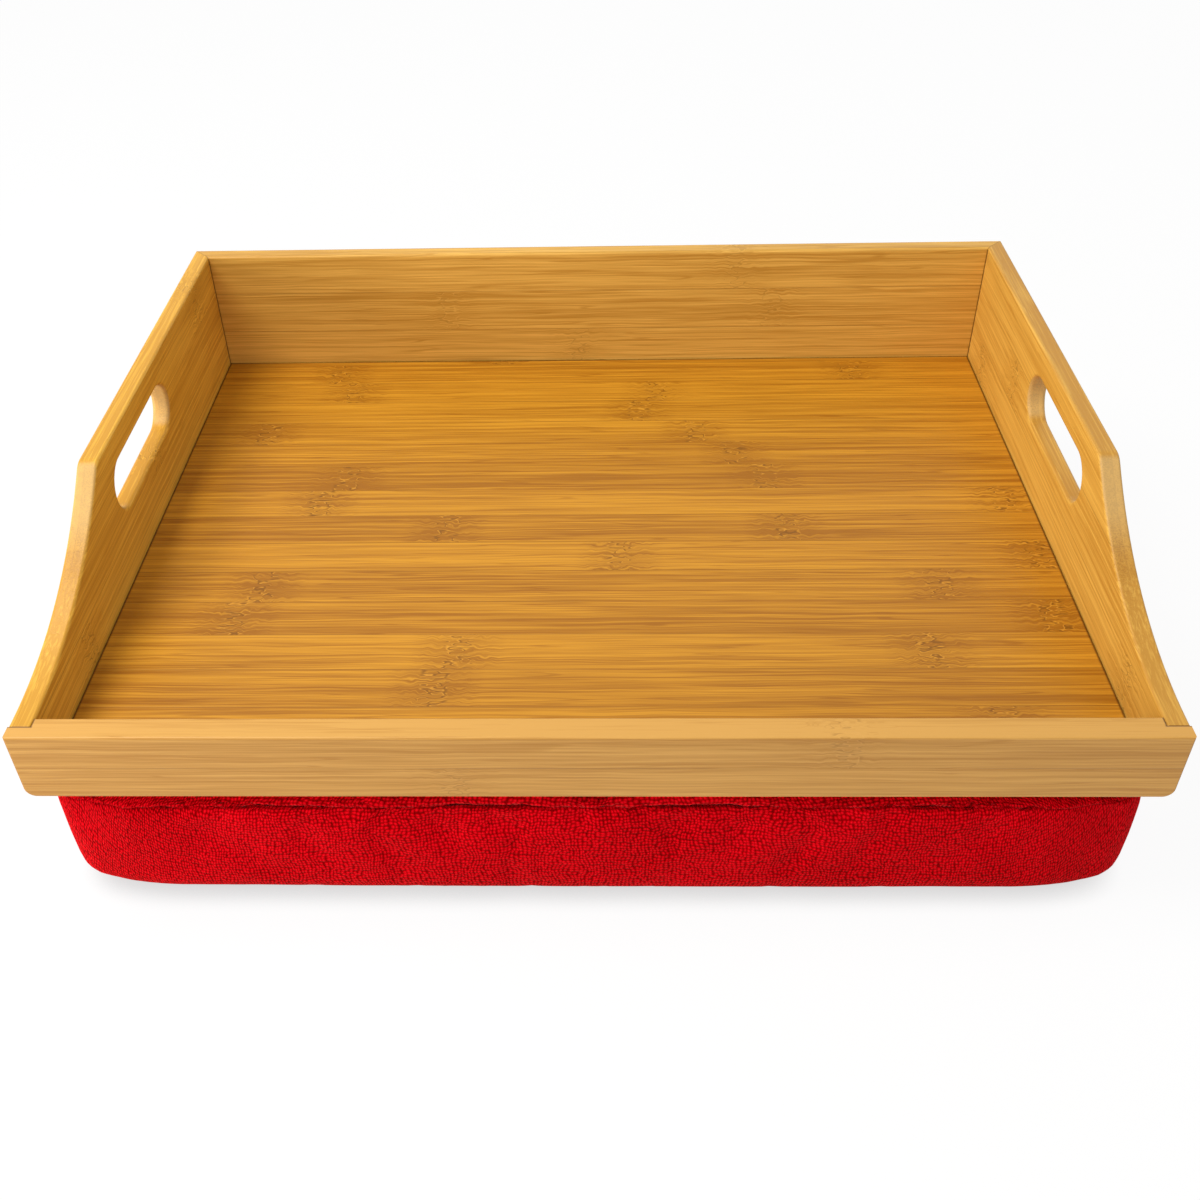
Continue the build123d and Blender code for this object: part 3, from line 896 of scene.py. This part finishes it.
# %% Inner bag and beads
inner_step = 0.006
bag_extra = 0.0024
bead_extra = 0.0033
bag_seam = 0.0289
bag_thick = 0.0006
crease_depth = 0.0008
inner_levels = [(0.021, 0.0), (0.016, 0.0)] + roll_levels
inner_levels += [(0.0, 0.0155), (0.0, 0.0205), (0.0, bag_seam), (0.0, 0.034), (0.0, 0.0395), (0.0, 0.0458),
                 (0.0, 0.0488), (0.0005, 0.0535), (0.0012, 0.0578), (0.0018, 0.0598), (0.0025, 0.0616)]
inner_levels += crown_levels


def inner_rings(extra):
    """Rings of the whole cushion's form, drawn in all round by extra."""
    squeeze = (cushion_top - 2 * extra) / cushion_top
    return ring_points(inner_levels, inner_step, extra, squeeze)


def ripple(rings, depth, seed):
    """Small soft creases, always inwards, so that a layer stays inside the next one."""
    generator = np.random.default_rng(seed)
    _, normals = outline(0.0, inner_step)
    for ring in rings[4:]:
        wave = generator.random(len(normals))
        for _ in range(3):
            wave = (np.roll(wave, 1) + wave + np.roll(wave, -1)) / 3
        ring[:, :2] -= normals * (wave * depth)[:, None]
    return rings


_, inner_normals = outline(0.0, inner_step)
bag_rings = ripple(inner_rings(bag_extra), crease_depth, 5)
heights = bag_rings[:, 0, 2]
split = int(np.argmin(np.abs(heights - bag_seam)))
bag_lower = skin("cotton_bag_lower", bag_rings[:split + 1].copy(), inner_step, inner_normals, False)
bag_upper = skin("cotton_bag_upper", bag_rings[split:][::-1].copy(), inner_step, inner_normals, True)
thicken(bag_lower, bag_thick)
thicken(bag_upper, bag_thick)

bead_rings = ripple(inner_rings(bead_extra), crease_depth, 9)
bead_lower = skin("bead_heap", bead_rings.copy(), inner_step, inner_normals, False)
lid, lid_numbers = span_grid(bead_rings[-1][:, :2], inner_step)
heap = bmesh.new()
heap.from_mesh(bead_lower.data)
known = list(heap.verts)
last_ring = (len(bead_rings) - 1) * bead_rings.shape[1]
lid_verts = {}
for j in range(lid.shape[0]):
    for i in range(lid.shape[1]):
        if lid_numbers[j, i] >= 0:
            lid_verts[j, i] = known[last_ring + int(lid_numbers[j, i])]
        else:
            lid_verts[j, i] = heap.verts.new((*lid[j, i], bead_rings[-1][0, 2]))
for j in range(lid.shape[0] - 1):
    for i in range(lid.shape[1] - 1):
        corners = [lid_verts[j, i], lid_verts[j, i + 1], lid_verts[j + 1, i + 1], lid_verts[j + 1, i]]
        heap.faces.new(corners).smooth = True
heap.to_mesh(bead_lower.data)
heap.free()


thread_turns = 9000


def cotton(name):
    material, shader, wire = new_material(name, {"Roughness": 0.9})
    flat = wire.node("ShaderNodeUVMap", {"uv_map": "cloth"})
    across = flat.part(0) * thread_turns
    along = flat.part(1) * thread_turns
    weave = across.maths("SINE") * along.maths("SINE")
    spot = pack(across, along, 0.0)
    slub = noise(spot, 0.02, detail=2.0)
    shade = weave * 0.18 + slub
    colour = shade.ramp([(0.2, (0.66, 0.62, 0.54)), (0.8, (0.86, 0.83, 0.76))])
    coat(shader, colour, weave + slub, 0.4, 0.0002)
    return material


def foam_beads(name):
    material, shader, wire = new_material(name, {"Roughness": 0.6})
    place = wire.place()
    distance = place.node("ShaderNodeTexVoronoi", {}, {"Vector": place, "Scale": 330.0})
    ball = hump(distance, 0.75)
    grey = noise(place, 90)
    # Painted shade: the grey between the balls' pale middles stands for the shade in the gaps between
    # beads.
    shade = ball * 0.7 + grey * 0.4
    colour = shade.ramp([(0.1, (0.48, 0.48, 0.47)), (0.7, (0.90, 0.90, 0.88))])
    coat(shader, colour, ball, 1.0, 0.0015)
    return material


bag_cloth = cotton("bag_cotton")
for piece, node_name in ((bag_lower, "inner_bag_lower"), (bag_upper, "inner_bag_upper")):
    piece.data.materials.append(bag_cloth)
    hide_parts(node_name)
    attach(piece, "cushion")
bead_lower.data.materials.append(foam_beads("foam_beads"))
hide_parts("bead_filling")
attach(bead_lower, "cushion")
print("bag and beads", [len(o.data.polygons) for o in (bag_lower, bag_upper, bead_lower)])

# %% [markdown]
# The tray keeps its place on the cushion by four pairs of hook and loop pads. The hook pads are
# stapled under the tray, and the loop pads are sewn to the cushion. Hook tape is rows of stiff
# little hooks, and loop tape a tangle of fine thread. A row of stitches close to its edge holds
# each loop pad: one stitch is modelled, and the rest are copies that follow the edge.

# %% Hook tape and loop tape
def hook_tape(name):
    material, shader, wire = new_material(name, {"Roughness": 0.55})
    place = wire.place()
    x = place.part(0) / 0.0013
    y = place.part(1) / 0.0016
    dx = abs(x - x.maths("FLOOR") - 0.5)
    dy = abs(y - y.maths("FLOOR") - 0.5)
    stem = hump(dx, 0.4) * hump(dy, 0.45)
    grain = noise(place, 900)
    shade = stem * 0.7 + grain * 0.3
    colour = shade.ramp([(0.1, (0.012, 0.012, 0.012)), (0.9, (0.075, 0.075, 0.075))])
    coat(shader, colour, stem, 1.0, 0.0008)
    return material


def loop_tape(name, deep, bright):
    material, shader, wire = new_material(name, {"Roughness": 0.95, "Specular IOR Level": 0.1})
    place = wire.place()
    curl = noise(place, 700, detail=3.0, roughness=0.7)
    thread = hump(abs(curl - 0.5), 0.06)
    tuft = noise(place, 260)
    shade = thread * 0.5 + tuft * 0.6
    coat(shader, shade.ramp([(0.15, deep), (0.85, bright)]), shade, 0.9, 0.0006)
    return material


hooks = hook_tape("black_hook_tape")
loops = loop_tape("red_loop_tape", (0.16, 0.001, 0.004), (0.66, 0.012, 0.022))
for number in range(1, 5):
    dress(f"hook_pad_{number}", hooks)
    dress(f"loop_pad_{number}", loops)


def thread_finish(name, deep, bright):
    material, shader, wire = new_material(name, {"Roughness": 0.8, "Specular IOR Level": 0.15})
    ply = noise(wire.place(), 2600, detail=1.0)
    coat(shader, ply.ramp([(0.3, deep), (0.7, bright)]), ply, 0.5, 0.0002)
    return material


red_thread = thread_finish("red_thread", (0.22, 0.002, 0.006), (0.58, 0.010, 0.018))
print("pads dressed", 8)

# %% One stitch, and rows of it
def pick(test):
    """In edit mode, select only the vertices whose place passes a test."""
    mesh = bmesh.from_edit_mesh(bpy.context.object.data)
    for vert in mesh.verts:
        vert.select = test(vert.co)
    mesh.select_flush_mode()
    bmesh.update_edit_mesh(bpy.context.object.data)


def begin_edit(stretch):
    """Enter edit mode and resize the whole shape."""
    bpy.ops.object.mode_set(mode="EDIT")
    bpy.ops.mesh.select_mode(type="VERT")
    bpy.ops.mesh.select_all(action="SELECT")
    bpy.ops.transform.resize(value=stretch)


def make_stitch():
    """One stitch: a small ball drawn out along X, its ends pressed down into the cloth."""
    bpy.ops.object.select_all(action="DESELECT")
    bpy.ops.mesh.primitive_uv_sphere_add(segments=8, ring_count=6, radius=0.0003)
    stitch = bpy.context.object
    begin_edit((3.8, 1.0, 1.0))
    pick(lambda place: abs(place.x) > 0.0008)
    bpy.ops.transform.translate(value=(0, 0, -0.00022))
    bpy.ops.object.mode_set(mode="OBJECT")
    bpy.ops.object.shade_smooth()
    return stitch


def copies(model, name, places):
    """One mesh of copies of a model, one at each matrix."""
    joined = bmesh.new()
    for matrix in places:
        one = model.data.copy()
        one.transform(matrix)
        joined.from_mesh(one)
        bpy.data.meshes.remove(one)
    mesh = bpy.data.meshes.new(name)
    joined.to_mesh(mesh)
    joined.free()
    return place_object(name, mesh)


def stitch_turns(path, upward, spacing):
    """Matrices along a line of points, X along the line and Z out of the cloth."""
    matrices = []
    left_over = 0.0
    for start, end in zip(path, path[1:]):
        length = (end - start).length
        onward = (end - start).normalized()
        side = upward.cross(onward)
        turned = Matrix((onward, side, upward)).transposed().to_4x4()
        reach = left_over
        while reach < length:
            matrices.append(Matrix.Translation(start + onward * reach) @ turned)
            reach += spacing
        left_over = reach - length
    return matrices


def pad_edge(low, high, margin, radius, height):
    """The stitch line inside a pad's edge, with rounded corners."""
    corners = [(high.x - margin - radius, high.y - margin - radius, 0),
               (low.x + margin + radius, high.y - margin - radius, 90),
               (low.x + margin + radius, low.y + margin + radius, 180),
               (high.x - margin - radius, low.y + margin + radius, 270)]
    path = []
    for x, y, begin in corners:
        for step in range(4):
            angle = math.radians(begin + 30 * step)
            path.append(Vector((x + radius * math.cos(angle), y + radius * math.sin(angle), height)))
    return path + [path[0]]


stitch = make_stitch()
stitch_step = 0.0031
for number in range(1, 5):
    low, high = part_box(f"loop_pad_{number}")
    edge = pad_edge(low, high, 0.0022, 0.0025, high.z + 0.00005)
    turns = stitch_turns(edge, Vector((0, 0, 1)), stitch_step)
    row = copies(stitch, f"loop_pad_stitches_{number}", turns)
    row.data.materials.append(red_thread)
    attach(row, "cushion")
stitch_lift = 0.0004
zip_rows = []
row_lines = [[(x, height) for x in np.arange(0.152, -0.1525, -stitch_step)] for height in (0.0176, 0.0484)]
row_lines += [[(side, z) for z in np.arange(0.0185, 0.0476, 0.0029)] for side in (-0.1535, 0.1535)]
for row_line in row_lines:
    line = [Vector((x, wall_at(x, z) + stitch_lift, z)) for x, z in row_line]
    zip_rows += stitch_turns(line, Vector((0, 1, 0)), stitch_step)
zip_stitches = copies(stitch, "zip_stitches", zip_rows)
zip_stitches.data.materials.append(red_thread)
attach(zip_stitches, "cushion")
bpy.data.objects.remove(stitch)
print("stitches round the zip", len(zip_rows))

# %% [markdown]
# The zip in the back wall is a nylon coil zip. Each side is a thread wound into flat loops, whose
# rounded heads slip between those of the other side. One loop starts as a ring, is pressed into an
# oval and leans a little, and copies of it make both coils. The tapes are woven in a herringbone,
# and the slider, its pull and the stops are plated metal.

# %% Zip coils
coil_half = 0.138
coil_pitch = 0.002
coil_front = cushion_half_y
coil_crest = 0.00138


def make_loop():
    """One loop of the coil: a ring set across the zip, flattened at the back and leaning."""
    bpy.ops.object.select_all(action="DESELECT")
    bpy.ops.mesh.primitive_torus_add(major_segments=9, minor_segments=5, major_radius=0.00092,
                                     minor_radius=0.00036, rotation=(0, math.radians(90), 0))
    loop = bpy.context.object
    bpy.ops.object.transform_apply(location=True, rotation=True, scale=True)
    begin_edit((0.95, 0.54, 1.02))
    pick(lambda place: place.y < -0.0004)
    bpy.ops.transform.resize(value=(1.0, 0.25, 1.0))
    pick(lambda place: place.z > 0.0005)
    bpy.ops.transform.translate(value=(0.00032, 0, 0))
    bpy.ops.object.mode_set(mode="OBJECT")
    bpy.ops.object.shade_smooth()
    return loop


def nylon(name, deep, bright):
    material, shader, wire = new_material(name, {})
    cloud = noise(wire.place(), 800, detail=2.0)
    feed(0.34 + cloud * 0.15, shader, "Roughness")
    coat(shader, cloud.ramp([(0.3, deep), (0.7, bright)]), cloud, 0.1, 0.0002)
    return material


red_nylon = nylon("red_nylon", (0.34, 0.003, 0.010), (0.55, 0.008, 0.018))
loop = make_loop()
low = min(v.co.y for v in loop.data.vertices)
high = max(v.co.y for v in loop.data.vertices)
coil_count = int(2 * (coil_half - 0.001) / coil_pitch)
for side, node_name in ((1, "zip_coil_upper"), (-1, "zip_coil_lower")):
    turned = Matrix.Rotation(math.radians(0 if side > 0 else 180), 4, "Y")
    places = []
    for index in range(coil_count):
        x = -coil_half + 0.0015 + coil_pitch * (index + (0.25 if side > 0 else 0.75))
        where = Vector((x, coil_front + coil_crest - high, zip_middle + side * 0.00122))
        places.append(Matrix.Translation(where) @ turned)
    coil = copies(loop, node_name.replace("zip_coil", "nylon_coil"), places)
    coil.data.materials.append(red_nylon)
    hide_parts(node_name)
    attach(coil, "cushion")
    print(coil.name, coil_count, "loops")
bpy.data.objects.remove(loop)

# %% Zip tapes and metal
def herringbone(name, deep, bright):
    """A woven tape whose slanting ribs change direction every 2 mm."""
    material, shader, wire = new_material(name, {"Roughness": 0.85, "Specular IOR Level": 0.2})
    place = wire.place()
    lane = place.part(2) / 0.004
    fold = abs(lane - lane.maths("FLOOR") - 0.5)
    phase = (place.part(0) / 0.0009 + fold * 4.4) * (2 * math.pi)
    rib = phase.maths("SINE") * 0.5 + 0.5
    fuzz = noise(place, 1300)
    shade = rib * 0.6 + fuzz * 0.5
    coat(shader, shade.ramp([(0.2, deep), (0.9, bright)]), rib + fuzz * 0.4, 0.6, 0.0003)
    return material


def plated_metal(name, tint, rough, grain_size):
    """Plated metal with faint clouding and fine scratches."""
    material, shader, wire = new_material(name, {"Metallic": 1.0})
    place = wire.place()
    cloud = noise(place, grain_size, detail=3.0)
    x, y, z = place.part(0), place.part(1), place.part(2)
    scratch = noise(pack(x * 300, y * 4000, z * 4000), detail=1.0)
    worn = tuple(c * 0.72 for c in tint)
    feed(rough + (scratch - 0.5) * 0.25 + (cloud - 0.5) * 0.15, shader, "Roughness")
    coat(shader, cloud.ramp([(0.25, worn), (0.7, tint)]), scratch, 0.12, 0.0001)
    return material


tape = herringbone("red_zip_tape", (0.20, 0.001, 0.006), (0.56, 0.006, 0.016))
nickel = plated_metal("nickel_plate", (0.66, 0.65, 0.63), 0.28, 600)
wire_steel = plated_metal("steel_wire", (0.62, 0.62, 0.63), 0.32, 900)
for node_name in ("zip_tape_upper", "zip_tape_lower"):
    dress(node_name, tape)
for node_name in ("zip_slider", "zip_pull"):
    dress(node_name, nickel)
for node_name in ("zip_stops", "hook_pad_staples", "front_corner_brads"):
    dress(node_name, wire_steel)
print("metal pieces dressed", 5)
